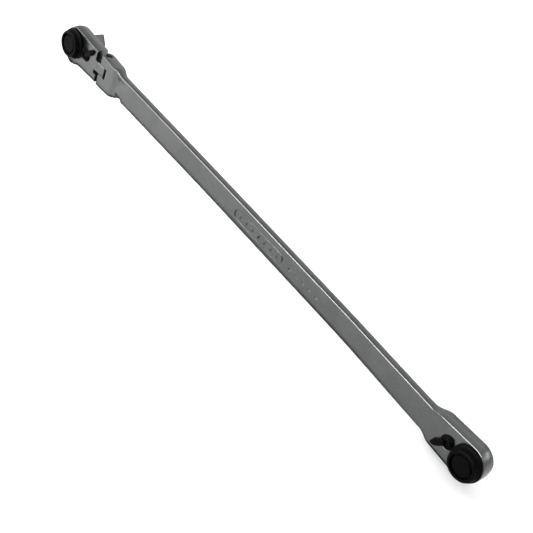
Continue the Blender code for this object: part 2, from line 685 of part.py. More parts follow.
def friction_set():
    """A sprung plunger in the bottom of the slot, just clear of the tang's swinging corners."""
    nose = PIN_X + SLOT_DEPTH - 0.3 * MM
    levels = ((nose, 0.45), (nose + 0.3 * MM, 0.85), (nose + 0.5 * MM, 0.95), (nose + 2.6 * MM, 0.95))
    rings = []
    for x, radius in levels:
        steps = [2.0 * math.pi * i / 16 for i in range(16)]
        rings.append([Vector((x, MID_Y + radius * MM * math.cos(a),
                              AXIS_Z + radius * MM * math.sin(a))) for a in steps])
    skin("friction_plunger", rings, HARD_STEEL)
    start = Vector((nose + 2.7 * MM, MID_Y, AXIS_Z))
    coil("friction_spring", start, Vector((PIN_X + SLOT_DEPTH + 6.3 * MM, MID_Y, AXIS_Z)), 0.72 * MM,
         0.16 * MM, 6, SPRING_STEEL)


def main():
    for obj in list(bpy.data.objects):
        bpy.data.objects.remove(obj)
    handle_forging()
    flex_head_housing()
    pivot_pin()
    friction_set()
    square_drive_gear()
    socket_ball()
    socket_ball_spring()
    hex_socket_gear()
    bit_retaining_ring()
    for side in HEADS:
        finger_wheel(side)
        wheel_cap(side)
        wheel_screw(side)
        cover_plate(side)
        snap_ring(side)
        pawl(side)
        pawl_pin(side)
        reverse_lever(side)
        detent_set(side)


main()
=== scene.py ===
import json
import math

import bmesh
import bpy
from mathutils import Matrix, Vector


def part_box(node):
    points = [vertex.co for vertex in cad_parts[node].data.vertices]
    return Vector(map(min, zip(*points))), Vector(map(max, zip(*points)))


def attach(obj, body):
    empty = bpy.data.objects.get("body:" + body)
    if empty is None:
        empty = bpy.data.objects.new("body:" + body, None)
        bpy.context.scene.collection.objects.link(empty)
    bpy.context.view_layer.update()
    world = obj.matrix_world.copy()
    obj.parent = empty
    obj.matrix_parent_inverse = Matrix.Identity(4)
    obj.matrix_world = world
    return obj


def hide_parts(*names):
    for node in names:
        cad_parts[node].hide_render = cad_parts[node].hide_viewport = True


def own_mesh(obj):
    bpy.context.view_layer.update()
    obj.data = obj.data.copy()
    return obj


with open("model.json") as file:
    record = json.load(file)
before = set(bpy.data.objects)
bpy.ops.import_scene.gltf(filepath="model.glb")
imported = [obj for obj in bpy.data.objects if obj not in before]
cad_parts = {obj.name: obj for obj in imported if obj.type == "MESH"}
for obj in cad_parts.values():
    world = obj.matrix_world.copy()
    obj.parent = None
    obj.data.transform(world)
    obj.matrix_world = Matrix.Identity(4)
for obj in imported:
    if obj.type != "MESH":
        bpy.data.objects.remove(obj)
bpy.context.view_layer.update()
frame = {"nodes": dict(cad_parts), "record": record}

MM = 0.001


# ---------------------------------------------------------------- places, all read from the frame
def middle(node):
    low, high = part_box(node)
    return (Vector(low) + Vector(high)) / 2.0


def extent(node):
    low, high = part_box(node)
    return Vector(high) - Vector(low)


PIN = middle("pivot_pin")
FIXED_X = middle("fixed_finger_wheel").x
FLEX_X = middle("flex_finger_wheel").x
AXIS_Z = middle("fixed_finger_wheel").z
HALF_T = extent("flex_head_housing").y / 2.0
MID_Y = middle("flex_head_housing").y
FACE_Y = MID_Y - HALF_T
BACK_Y = MID_Y + HALF_T
HEAD_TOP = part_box("flex_head_housing")[1][2] - AXIS_Z
HEAD_END = FLEX_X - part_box("flex_head_housing")[0][0]
HEAD_LOW = AXIS_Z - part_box("handle_forging")[0][2]
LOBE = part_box("handle_forging")[0][2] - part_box("flex_head_housing")[0][2]
FIXED_LEVER_X = FIXED_X - 10.6 * MM
FLEX_LEVER_X = FLEX_X + 10.6 * MM
DRIVE_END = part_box("flex_drive_gear")[1][1]


# ---------------------------------------------------------------- node materials
class Nodes:
    """A short way to build a node tree."""

    def __init__(self, name):
        self.mat = bpy.data.materials.new(name)
        self.mat.use_nodes = True
        self.tree = self.mat.node_tree
        self.shader = self.tree.nodes["Principled BSDF"]

    def add(self, kind, **values):
        node = self.tree.nodes.new(kind)
        for key, value in values.items():
            if hasattr(node, key):
                setattr(node, key, value)
            else:
                node.inputs[key.replace("_", " ")].default_value = value
        return node

    def link(self, source, target):
        self.tree.links.new(source, target)

    def noise(self, vector, scale, detail=4.0, rough=0.55):
        node = self.add("ShaderNodeTexNoise", Scale=scale, Detail=detail, Roughness=rough)
        self.link(vector, node.inputs["Vector"])
        return node.outputs["Fac"]

    def spread(self, value, low, high, to_low, to_high):
        node = self.add("ShaderNodeMapRange")
        self.link(value, node.inputs["Value"])
        for key, number in (("From Min", low), ("From Max", high), ("To Min", to_low), ("To Max", to_high)):
            node.inputs[key].default_value = number
        return node.outputs["Result"]

    def math(self, operation, a, b):
        node = self.add("ShaderNodeMath", operation=operation)
        for socket, value in zip(node.inputs, (a, b)):
            if isinstance(value, (int, float)):
                socket.default_value = value
            else:
                self.link(value, socket)
        return node.outputs["Value"]

    def mix(self, factor, a, b):
        node = self.add("ShaderNodeMix", data_type="RGBA")
        self.link(factor, node.inputs["Factor"])
        node.inputs["A"].default_value = (*a, 1.0)
        node.inputs["B"].default_value = (*b, 1.0)
        return node.outputs["Result"]

    def stretched(self, scale):
        """Object coordinates, in millimetres, stretched along each axis."""
        place = self.add("ShaderNodeTexCoord")
        mapping = self.add("ShaderNodeMapping")
        mapping.inputs["Scale"].default_value = [1000.0 * s for s in scale]
        self.link(place.outputs["Object"], mapping.inputs["Vector"])
        return mapping.outputs["Vector"]

    def bump(self, height, strength, distance, under=None):
        node = self.add("ShaderNodeBump", Strength=strength, Distance=distance)
        self.link(height, node.inputs["Height"])
        if under is not None:
            self.link(under, node.inputs["Normal"])
        return node.outputs["Normal"]


def satin_metal(name, dark, light, rough, grain=(0.12, 1.0, 1.0), pits=0.5, specks=True):
    """Plated or ground steel: faint lines along the grain, cloudy patches, tiny pits and a few dents."""
    n = Nodes(name)
    n.shader.inputs["Metallic"].default_value = 1.0
    along = n.stretched(grain)
    even = n.stretched((1.0, 1.0, 1.0))
    lines = n.noise(along, 5.0, 3.0)
    clouds = n.noise(even, 0.09, 3.0, 0.6)
    sand = n.noise(even, 9.0, 2.0)
    tone = n.math("ADD", n.math("MULTIPLY", lines, 0.35), n.math("MULTIPLY", clouds, 0.65))
    n.link(n.mix(n.spread(tone, 0.38, 0.62, 0.0, 1.0), dark, light), n.shader.inputs["Base Color"])
    rough_noise = n.math("ADD", n.spread(clouds, 0.35, 0.65, rough - 0.035, rough + 0.045),
                         n.spread(sand, 0.3, 0.7, -0.03, 0.03))
    n.link(rough_noise, n.shader.inputs["Roughness"])
    normal = n.bump(lines, 0.06, 0.00002)
    normal = n.bump(sand, 0.09 * pits, 0.00003, normal)
    if specks:
        dots = n.add("ShaderNodeTexVoronoi", Scale=0.35, Randomness=1.0)
        n.link(even, dots.inputs["Vector"])
        dent = n.spread(dots.outputs["Distance"], 0.02, 0.09, 0.0, 1.0)
        normal = n.bump(dent, 0.14, 0.00004, normal)
    n.link(normal, n.shader.inputs["Normal"])
    return n.mat


def black_finish(name, base, rough, grain_mm=3.5, worn=0.012):
    """Black oxide or moulded black: almost even, a fine grain, slightly greyer where it is handled."""
    n = Nodes(name)
    even = n.stretched((1.0, 1.0, 1.0))
    fine = n.noise(even, grain_mm, 3.0)
    clouds = n.noise(even, 0.25, 2.0)
    tint = n.spread(clouds, 0.35, 0.7, 0.0, 1.0)
    n.link(n.mix(tint, base, [c + worn for c in base]), n.shader.inputs["Base Color"])
    n.link(n.math("ADD", n.spread(fine, 0.3, 0.7, rough - 0.07, rough + 0.07),
                  n.spread(clouds, 0.3, 0.7, -0.03, 0.03)), n.shader.inputs["Roughness"])
    n.shader.inputs["Specular IOR Level"].default_value = 0.03
    n.link(n.bump(fine, 0.22, 0.00005), n.shader.inputs["Normal"])
    return n.mat


CHROME = satin_metal("satin_chrome", (0.104, 0.107, 0.106), (0.118, 0.121, 0.119), 0.27)
DRIVE_STEEL = satin_metal("drive_steel", (0.062, 0.064, 0.064), (0.085, 0.087, 0.087), 0.33, (1.0, 0.12, 1.0))
GROUND = satin_metal("ground_steel", (0.17, 0.17, 0.17), (0.23, 0.23, 0.225), 0.27, (1.0, 1.0, 0.15), 0.3,
                     False)
BRIGHT = satin_metal("spring_steel", (0.25, 0.25, 0.255), (0.33, 0.33, 0.335), 0.22, (0.4, 0.4, 0.4), 0.2,
                     False)
BLACK = black_finish("black_oxide", (0.0009, 0.0009, 0.0010), 0.36, 3.5, 0.0012)
CAP_BLACK = black_finish("black_cap", (0.0010, 0.0010, 0.0010), 0.55, 6.0, 0.0008)


# ---------------------------------------------------------------- mesh helpers
def finish_mesh(name, bm, mat, sharp=32.0):
    bmesh.ops.recalc_face_normals(bm, faces=bm.faces)
    mesh = bpy.data.meshes.new(name)
    bm.to_mesh(mesh)
    bm.free()
    mesh.materials.append(mat)
    mesh.shade_smooth()
    mesh.set_sharp_from_angle(angle=math.radians(sharp))
    obj = bpy.data.objects.new(name, mesh)
    bpy.context.scene.collection.objects.link(obj)
    return obj


def skin(name, rings, mat, closed=False, sharp=32.0):
    """Joins rings of equal length with quads. An open skin gets a face over each end."""
    bm = bmesh.new()
    rows = [[bm.verts.new(point) for point in ring] for ring in rings]
    pairs = list(zip(rows, rows[1:]))
    if closed:
        pairs.append((rows[-1], rows[0]))
    count = len(rows[0])
    for row, following in pairs:
        for i in range(count):
            j = (i + 1) % count
            bm.faces.new((row[i], row[j], following[j], following[i]))
    if not closed:
        bm.faces.new(rows[0])
        bm.faces.new(rows[-1])
    return finish_mesh(name, bm, mat, sharp)


def turned(name, x, levels, mat, count=96, closed=False, sharp=32.0):
    """Skins levels (y, radius) about an axis along Y. A radius may be a function of the angle."""
    rings = []
    for y, radius in levels:
        ring = []
        for i in range(count):
            angle = 2.0 * math.pi * i / count
            size = radius(angle) if callable(radius) else radius
            ring.append(Vector((x + size * math.cos(angle), y, AXIS_Z + size * math.sin(angle))))
        rings.append(ring)
    return skin(name, rings, mat, closed, sharp)


def prism(name, outline, levels, mat):
    """Stacks an outline of (x, z) points. Each level is (y, how far the outline has grown)."""
    count = len(outline)
    outward = []
    for i in range(count):
        before, after = Vector(outline[i - 1]), Vector(outline[(i + 1) % count])
        along = (after - before).normalized()
        outward.append(Vector((along.y, -along.x)))
    area = sum(outline[i - 1][0] * outline[i][1] - outline[i][0] * outline[i - 1][1] for i in range(count))
    side = 1.0 if area > 0.0 else -1.0
    rings = []
    for y, grow in levels:
        rings.append([Vector((p[0] + side * grow * o.x, y, p[1] + side * grow * o.y)) for p,
                      o in zip(outline, outward)])
    return skin(name, rings, mat)


def above_face(levels):
    """Levels given as (height above the heads' front face, radius), in millimetres."""
    return [(FACE_Y - h * MM, r * MM) for h, r in levels]


def rod(name, start, end, levels, mat, count=48):
    """A round bar. Each level is (share of the way from start to end, radius)."""
    along = (end - start).normalized()
    side = along.orthogonal().normalized()
    other = along.cross(side)
    rings = []
    for share, radius in levels:
        centre = start.lerp(end, share)
        steps = [2.0 * math.pi * i / count for i in range(count)]
        rings.append([centre + radius * (math.cos(a) * side + math.sin(a) * other) for a in steps])
    return skin(name, rings, mat)


def settle(obj):
    """Applies the object's modifiers to its mesh."""
    graph = bpy.context.evaluated_depsgraph_get()
    mesh = bpy.data.meshes.new_from_object(obj.evaluated_get(graph))
    obj.modifiers.clear()
    mesh.name = obj.name
    obj.data = mesh


def combine(obj, others, operation="DIFFERENCE"):
    """Exact Booleans, applied at once. The other objects are used up."""
    for other in others:
        modifier = obj.modifiers.new(other.name, "BOOLEAN")
        modifier.operation = operation
        modifier.solver = "EXACT"
        modifier.object = other
    settle(obj)
    for other in others:
        bpy.data.objects.remove(other)


def soften(obj, width, segments=2, angle=38.0, sharp=34.0):
    """A small even bevel on the hard edges, then smooth shading over what is left."""
    bm = bmesh.new()
    bm.from_mesh(obj.data)
    bmesh.ops.remove_doubles(bm, verts=bm.verts, dist=0.00001)
    bmesh.ops.dissolve_degenerate(bm, edges=bm.edges, dist=0.00001)
    bm.to_mesh(obj.data)
    bm.free()
    bevel = obj.modifiers.new("edges", "BEVEL")
    bevel.width = width
    bevel.segments = segments
    bevel.limit_method = "ANGLE"
    bevel.angle_limit = math.radians(angle)
    bevel.use_clamp_overlap = True
    settle(obj)
    obj.data.shade_smooth()
    obj.data.set_sharp_from_angle(angle=math.radians(sharp))


def stand_for(obj, body, slot, *nodes):
    """The piece rides on a body and stands for CAD nodes."""
    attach(obj, body)
    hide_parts(*nodes)


def ease(x, start, end):
    """0 before start, 1 after end, and a smooth rise between them."""
    u = min(max((x - start) / (end - start), 0.0), 1.0)
    return u * u * (3.0 - 2.0 * u)


def through(x, points):
    """A smooth run of values through (x, value) points in rising x."""
    value = points[0][1]
    for (x0, v0), (x1, v1) in zip(points, points[1:]):
        if x >= x0:
            value = v0 + (v1 - v0) * ease(x, x0, x1)
    return value


def every(start, end, step):
    """Even places from start to end, about a step apart."""
    count = max(1, int(round((end - start) / step)))
    return [start + (end - start) * i / count for i in range(count + 1)]


# ---------------------------------------------------------------- the forgings
HEAD_BEVEL = (2.3 * MM, 1.2 * MM)  # the lower front rounding, as (across the face, into the wall)
BAR_BEVEL = (1.6 * MM, 0.9 * MM)
EDGE = 0.14 * MM
WALL_CROWN = 0.30 * MM
END_EDGE = 0.9 * MM
NECK = 7.2 * MM
LOWER_EXTRA = HEAD_LOW - HEAD_TOP
BAR_HALF_T = 1.9 * MM
CORNER_STEPS = 7
WALL_STEPS = 5
FACE_STEPS = 14


def section(x, low, high, front, back, edge, bevel, crown):
    """A cross-section. low and high are distances from the axis, back is one from the middle plane.

    front(z) is how far the front face lies before the middle plane at a height above the axis.
    The lower front edge has a wide flat rounding, the others a tight one, and the side walls are crowned.
    """
    thick, wide = min(front(high), front(-low)) + back, low + high
    share = min(1.0, 0.5 * thick / bevel[1], 0.45 * wide / bevel[0])
    edge = min(edge, thick * 0.4, wide * 0.45)
    across, deep = bevel[0] * share, bevel[1] * share
    corners = ((high - edge, back - edge, edge, edge, 90.0), (edge - low, back - edge, edge, edge, 0.0),
               (across - low, deep - front(-low), across, deep, -90.0),
               (high - edge, edge - front(high), edge, edge, -180.0))
    ring = []
    for number, (z, y, size_z, size_y, start) in enumerate(corners):
        for i in range(CORNER_STEPS + 1):
            angle = math.radians(start - 90.0 * i / CORNER_STEPS)
            ring.append((y + size_y * math.cos(angle), z + size_z * math.sin(angle)))
        following = corners[(number + 1) % 4]
        if number % 2:
            for i in range(1, WALL_STEPS):
                u = i / WALL_STEPS
                bulge = crown * math.sin(math.pi * u)
                ring.append((y + (following[1] - y) * u, high + bulge if number == 3 else -low - bulge))
        if number == 2:
            for i in range(1, FACE_STEPS):
                face_z = z + (following[0] - z) * i / FACE_STEPS
                ring.append((-front(face_z), face_z))
    return [Vector((x, MID_Y + y, AXIS_Z + z)) for y, z in ring]


def flat_front(value):
    """A front that lies at one distance all over."""
    return lambda z: value


def end_half_thickness(distance, half_t, edge):
    """Half the thickness near an end whose edges are rounded."""
    if distance >= edge:
        return half_t
    return half_t - edge + math.sqrt(max(edge ** 2 - (edge - distance) ** 2, 0.0))


def head_width(reach, length, neck, radius, end=HEAD_END):
    """Half the width of a head: an elliptical end, then straight sides that narrow to the neck."""
    if reach <= 0.0:
        return radius * math.sqrt(max(1.0 - (reach / end) ** 2, 0.0))
    return radius + (neck - radius) * reach / length


END_STEPS = (0.01, 0.03, 0.07, 0.13, 0.21, 0.32, 0.46, 0.63, 0.84, 1.1, 1.5, 2.0, 2.7, 3.5, 4.4, 5.4, 6.5,
             7.6)
TIP_STEPS = (0.004, 0.02, 0.06, 0.13, 0.24, 0.4, 0.62, 0.9, 1.25, 1.65, 2.1)


def well_cutters(side, x):
    """Round well with a small lip, and the bore for the lever's stem."""
    return [turned(side + "_well", x,
                   ((FACE_Y - MM, 3.42 * MM), (FACE_Y, 3.40 * MM), (FACE_Y + 0.1 * MM, 3.31 * MM),
                    (FACE_Y + 0.9 * MM, 3.3 * MM), (FACE_Y + 0.9 * MM, 1.75 * MM),
                    (MID_Y + 1.25 * MM, 1.75 * MM)), CHROME, 72)]


def bore_cutters(side, x):
    """The stepped bore for the gear, with a chamfer where it opens at the back."""
    levels = ((FACE_Y - MM, 4.75), (MID_Y - 1.95 * MM, 4.75), (MID_Y - 1.95 * MM, 6.35),
              (MID_Y + 1.35 * MM, 6.35), (MID_Y + 1.35 * MM, 6.8), (MID_Y + 2.05 * MM, 6.8),
              (MID_Y + 2.05 * MM, 7.15), (MID_Y + 2.6 * MM, 7.15), (MID_Y + 2.6 * MM, 6.8),
              (BACK_Y - 0.3 * MM, 6.8), (BACK_Y, 7.1), (BACK_Y + MM, 7.1))
    return [turned(side + "_bore", x, [(y, r * MM) for y, r in levels], CHROME, 96)]


def pin_hole(name):
    """Hole across the yoke with a countersink at both ends."""
    reach = 11.0 * MM
    low = Vector((PIN.x, MID_Y, AXIS_Z - reach))
    high = Vector((PIN.x, MID_Y, AXIS_Z + reach))
    top = (reach + 7.75 * MM) / (2.0 * reach)
    bottom = (reach - 9.5 * MM) / (2.0 * reach)
    lip = 0.35 * MM / (2.0 * reach)
    return rod(name, low, high, ((0.0, 1.8 * MM), (bottom - lip, 1.8 * MM), (bottom + lip, 1.6 * MM),
                                 (top - lip, 1.6 * MM), (top + lip, 1.8 * MM), (1.0, 1.8 * MM)), CHROME)


def capsule(x0, x1, half, steps=14):
    """A round-ended outline along the bar."""
    points = []
    for centre, start in ((x1 - half, -90.0), (x0 + half, 90.0)):
        for i in range(steps + 1):
            angle = math.radians(start + 180.0 * i / steps)
            points.append((centre + half * math.cos(angle), AXIS_Z + half * math.sin(angle)))
    return points


def generic_mark():
    """A shallow plain mark on the bar's front: a round-ended outline with slanted bars, then dashes."""
    x0, x1 = MARK
    at = MID_Y - bar_front((x0 + x1) / 2.0)
    levels = ((at - MM, 0.0), (at + MARK_DEPTH, 0.0))
    outer = prism("mark_outer", capsule(x0, x1, 2.9 * MM), levels, CHROME)
    inner = prism("mark_inner", capsule(x0 + 0.75 * MM, x1 - 0.75 * MM, 2.15 * MM),
                  ((at - 2 * MM, 0.0), (at + MM, 0.0)), CHROME)
    combine(outer, [inner])
    cutters = [outer]
    for i in range(7):
        x = -3.5 * MM + i * 4.4 * MM
        slant = [(x - 0.3 * MM, -1.0 * MM), (x + 0.5 * MM, -1.0 * MM), (x + 1.3 * MM, 1.0 * MM),
                 (x + 0.5 * MM, 1.0 * MM)]
        outline = [(px, AXIS_Z + pz) for px, pz in slant]
        cutters.append(prism(f"mark_bar_{i}", outline, levels, CHROME))
    at = MID_Y - bar_front(41.0 * MM)
    for i in range(5):
        x = 32.2 * MM + i * 4.5 * MM
        cutters.append(prism(f"mark_dash_{i}", capsule(x - 1.1 * MM, x + 1.1 * MM, 0.42 * MM, 6),
                             ((at - MM, 0.0), (at + MARK_DEPTH, 0.0)), CHROME))
    return cutters


TIP_RADIUS = HALF_T + 0.15 * MM
TIP_CORNER = math.sqrt(TIP_RADIUS ** 2 - HALF_T ** 2)
TIP = PIN.x - TIP_RADIUS
PLATEAU_END = PIN.x + 9.4 * MM
YOKE_END = PIN.x + 9.0 * MM
BAR_START = PIN.x + 16.0 * MM
BAR_END = FIXED_X - 23.5 * MM
NECK_X = FIXED_X - 17.3 * MM
LIFTS = ((BAR_START, 0.35 * MM), (-20 * MM, -0.2 * MM), (60 * MM, -0.2 * MM), (BAR_END, 1.05 * MM))
MARK = (-7.5 * MM, 27.0 * MM)
MARK_DEPTH = 0.34 * MM
SLOT_DEPTH = 4.3 * MM
SLOT_HALF = 2.9 * MM
SLOT_CORNER = 0.5 * MM
SHOULDER = PIN.x - 3.45 * MM
TANG_HALF = 2.55 * MM
TANG_EDGE = 0.28 * MM
TANG_END = PIN.x + 2.4 * MM
WIDTHS = ((PIN.x, 7.8 * MM), (YOKE_END, 7.3 * MM), (BAR_START, 6.0 * MM), (-20 * MM, 5.7 * MM),
          (70 * MM, 5.7 * MM), (BAR_END, 6.05 * MM), (NECK_X, NECK))


def bar_front(x):
    return BAR_HALF_T + through(x, LIFTS)


def bar_back(x):
    return BAR_HALF_T - through(x, LIFTS)


def tip_half_thickness(x):
    """The yoke's tips are round about the pin, and flat at the heads' thickness."""
    return min(HALF_T, math.sqrt(TIP_RADIUS ** 2 - (x - PIN.x) ** 2))


def plateau_end(z):
    """The yoke's raised face ends in a blunt nose, longest near the middle."""
    return PIN.x + through(z,
                           ((-8.0 * MM, 8.9 * MM), (-3.5 * MM, 10.2 * MM), (0.5 * MM, 10.8 * MM),
                            (6.0 * MM, 9.5 * MM)))


def handle_front(x, z):
    """The yoke's face ends at a crisp edge and falls to the bar; the fixed head's face rises to one."""
    if x < PIN.x:
        return tip_half_thickness(x)
    ramp, crest = FIXED_X - 22.6 * MM, FIXED_X - 18.4 * MM
    if x > ramp:
        u = min((x - ramp) / (crest - ramp), 1.0)
        return bar_front(ramp) + (HALF_T - bar_front(ramp)) * u ** 1.7
    u = min(max((x - plateau_end(z)) / (2.0 * MM), 0.0), 1.0)
    dish = 0.9 * MM * (1.0 - ease(x, PIN.x + 14.0 * MM, PIN.x + 24.0 * MM)) * ease(5.4 * MM - abs(z), 0.0,
                                                                                   2.5 * MM)
    dish *= ease(z, -4.0 * MM, 1.0 * MM)
    level = HALF_T + (bar_front(max(x, BAR_START)) - dish - HALF_T) * (1.0 - (1.0 - u) ** 1.35)
    hollow = ease(x, PIN.x + 12.0 * MM,
                  PIN.x + 14.6 * MM) * (1.0 - ease(x, PIN.x + 15.4 * MM, PIN.x + 19.5 * MM))
    barrel = 0.3 * MM * ease(x, BAR_START, BAR_START + 12.0 * MM) * (1.0 - ease(x, ramp - 12.0 * MM, ramp))
    return level + barrel * (0.45 - min((z / (6.0 * MM)) ** 2, 1.3)) - 1.3 * MM * hollow * ease(-z, 3.4 * MM,
                                                                                                6.2 * MM)


def handle_back(x):
    if x < PIN.x:
        return tip_half_thickness(x)
    if x < BAR_END:
        return HALF_T + (bar_back(x) - HALF_T) * ease(x, YOKE_END, BAR_START)
    u = min((x - BAR_END) / (NECK_X - BAR_END), 1.0)
    return bar_back(BAR_END) + (HALF_T - bar_back(BAR_END)) * u ** 1.5


def handle_stations(end):
    """Where the handle's cross-sections lie: close together wherever its shape changes."""
    stations = [TIP + step * MM for step in TIP_STEPS] + [PIN.x - TIP_CORNER]
    stations += every(PIN.x, PLATEAU_END - 0.05 * MM, 2.0 * MM)
    stations += [PLATEAU_END] + every(PLATEAU_END + 0.12 * MM, BAR_START + 2.0 * MM, 0.3 * MM)
    stations += every(BAR_START + 3.0 * MM, BAR_END - 1.0 * MM, 4.0 * MM)
    stations += every(BAR_END - 0.5 * MM, NECK_X + 0.4 * MM, 0.3 * MM)
    stations += every(NECK_X + 1.5 * MM, FIXED_X - 0.6 * MM, 1.5 * MM)
    return stations + [end - step * MM for step in reversed(END_STEPS)]


def slot_cutter():
    """The yoke's slot, with two rounded inner corners and a slight flare at the faces."""
    inner_x = PIN.x + SLOT_DEPTH - SLOT_CORNER
    outline = [(TIP - MM, AXIS_Z - SLOT_HALF)]
    for start, z in ((-90.0, AXIS_Z - SLOT_HALF + SLOT_CORNER), (0.0, AXIS_Z + SLOT_HALF - SLOT_CORNER)):
        for i in range(7):
            angle = math.radians(start + 15.0 * i)
            outline.append((inner_x + SLOT_CORNER * math.cos(angle), z + SLOT_CORNER * math.sin(angle)))
    outline.append((TIP - MM, AXIS_Z + SLOT_HALF))
    flare = 0.04 * MM
    return prism("slot", outline,
                 ((FACE_Y - MM, flare), (FACE_Y, flare), (FACE_Y + flare, 0.0), (BACK_Y - flare, 0.0),
                  (BACK_Y, flare), (BACK_Y + MM, flare)), CHROME)


def handle():
    """The yoke, the bar and the fixed head, in one skin that is then cut."""
    end = FIXED_X + HEAD_END - 0.4 * MM

    def width(x, radius):
        if x > NECK_X:
            return head_width(FIXED_X - x, FIXED_X - NECK_X, radius - HEAD_TOP + NECK, radius, end - FIXED_X)
        return through(x, WIDTHS)

    def low_extra(x):
        if x < BAR_END:
            return LOWER_EXTRA * (1.0 - 0.7 * ease(x, YOKE_END, BAR_START))
        return LOWER_EXTRA * (0.3 + 0.7 * ease(x, BAR_END, NECK_X))

    rings = []
    for x in handle_stations(end):
        back = handle_back(x)
        if x > FIXED_X:
            back = end_half_thickness(end - x, HALF_T, END_EDGE)
        share = 1.0 - ease(x, PLATEAU_END, BAR_START) * (1.0 - ease(x, BAR_END, NECK_X))
        bevel = [bar + (head - bar) * share for bar, head in zip(BAR_BEVEL, HEAD_BEVEL)]
        low = width(x, HEAD_TOP + LOWER_EXTRA) if x > NECK_X else width(x, HEAD_TOP) + low_extra(x)
        kink = ease(x, BAR_END - 0.3 * MM, BAR_END + 0.8 * MM) * (1.0 - ease(x, NECK_X - 1.6 * MM, NECK_X))
        bar_edge = 0.16 * MM + 0.26 * MM * ease(x, -90.0 * MM, 50.0 * MM)
        edge = EDGE + bar_edge * ease(x, PLATEAU_END, PLATEAU_END + 1.0 * MM) * (1.0 - kink)

        def front(z, x=x, back=back):
            return back if x > FIXED_X else handle_front(x, z)

        rings.append(section(x, low, width(x, HEAD_TOP), front, back, edge, bevel, WALL_CROWN))
    forging = skin("handle_body", rings, CHROME)
    combine(forging, [slot_cutter(), pin_hole("yoke_hole")])
    combine(forging, well_cutters("fixed", FIXED_LEVER_X) + bore_cutters("fixed", FIXED_X))
    combine(forging, generic_mark())
    soften(forging, 0.05 * MM, 1)
    stand_for(forging, "handle", "satin_forging", "handle_forging")


def tang_rings():
    edges = (TANG_EDGE, TANG_EDGE)
    rings = []
    for step in (0.004, 0.03, 0.08, 0.16, 0.3):
        half_t = end_half_thickness(step * MM, HALF_T, 0.3 * MM)
        rings.append(section(TANG_END - step * MM, TANG_HALF, TANG_HALF, flat_front(half_t), half_t,
                             TANG_EDGE, edges, 0.0))
    for x in every(TANG_END - 0.8 * MM, SHOULDER, 1.0 * MM):
        rings.append(section(x, TANG_HALF, TANG_HALF, flat_front(HALF_T), HALF_T, TANG_EDGE, edges, 0.0))
    return rings


def head_rings():
    """The head from its shoulder to its round end, with the lobe that bulges out below the wheel."""
    end = FLEX_X - HEAD_END
    neck = NECK + 0.1 * MM

    def lobe(x):
        u = min(abs(x - FLEX_X + 2.4 * MM) / (9.0 * MM), 1.0)
        return 1.1 * LOBE * (0.5 + 0.5 * math.cos(math.pi * u))

    stations = [(SHOULDER - 0.001 * MM, 0.25), (SHOULDER - 0.03 * MM, 0.14), (SHOULDER - 0.1 * MM, 0.05),
                (SHOULDER - 0.22 * MM, 0.0)]
    stations += [(x, 0.0) for x in every(FLEX_X, SHOULDER - 1.0 * MM, 1.2 * MM)[::-1]]
    stations += [(end + step * MM, 0.0) for step in reversed(END_STEPS)]
    rings = []
    for x, shy in stations:
        half_t = end_half_thickness(x - end, HALF_T, END_EDGE) - shy * MM
        reach, length = x - FLEX_X, SHOULDER - FLEX_X
        high = head_width(reach, length, neck, HEAD_TOP) - shy * MM
        low = head_width(reach, length, neck + LOWER_EXTRA, HEAD_TOP + LOWER_EXTRA) - shy * MM + lobe(x)
        share = ease(x, FLEX_X + 1.0 * MM, FLEX_X + 7.0 * MM)
        bevel = [0.45 * MM + (size - 0.45 * MM) * share for size in HEAD_BEVEL]
        crown = WALL_CROWN + 0.35 * MM * ease(x, SHOULDER, FLEX_X + 5.0 * MM)
        rings.append(section(x, low, high, flat_front(half_t), half_t, EDGE, bevel, crown))
    return rings


def relief(low, high):
    """A block that cuts the shoulder back beside the tang, between two heights from the axis."""
    x0, x1 = PIN.x - 5.5 * MM, PIN.x - 2.0 * MM
    corners = [(x0, AXIS_Z + low), (x1, AXIS_Z + low), (x1, AXIS_Z + high), (x0, AXIS_Z + high)]
    return prism("relief", corners, ((FACE_Y - MM, 0.0), (BACK_Y + MM, 0.0)), CHROME)


def flex_head():
    """The tilting head with its tang."""
    housing = skin("flex_head_body", tang_rings() + head_rings(), CHROME)
    combine(housing, [relief(TANG_HALF + 0.1 * MM, 12.0 * MM), relief(-4.8 * MM, -TANG_HALF - 0.1 * MM)])
    combine(housing, [pin_hole("tang_hole")])
    combine(housing, well_cutters("flex", FLEX_LEVER_X) + bore_cutters("flex", FLEX_X))
    soften(housing, 0.05 * MM, 1)
    stand_for(housing, "flex_head", "satin_forging", "flex_head_housing")


# ---------------------------------------------------------------- finger wheels
RIBS = 40


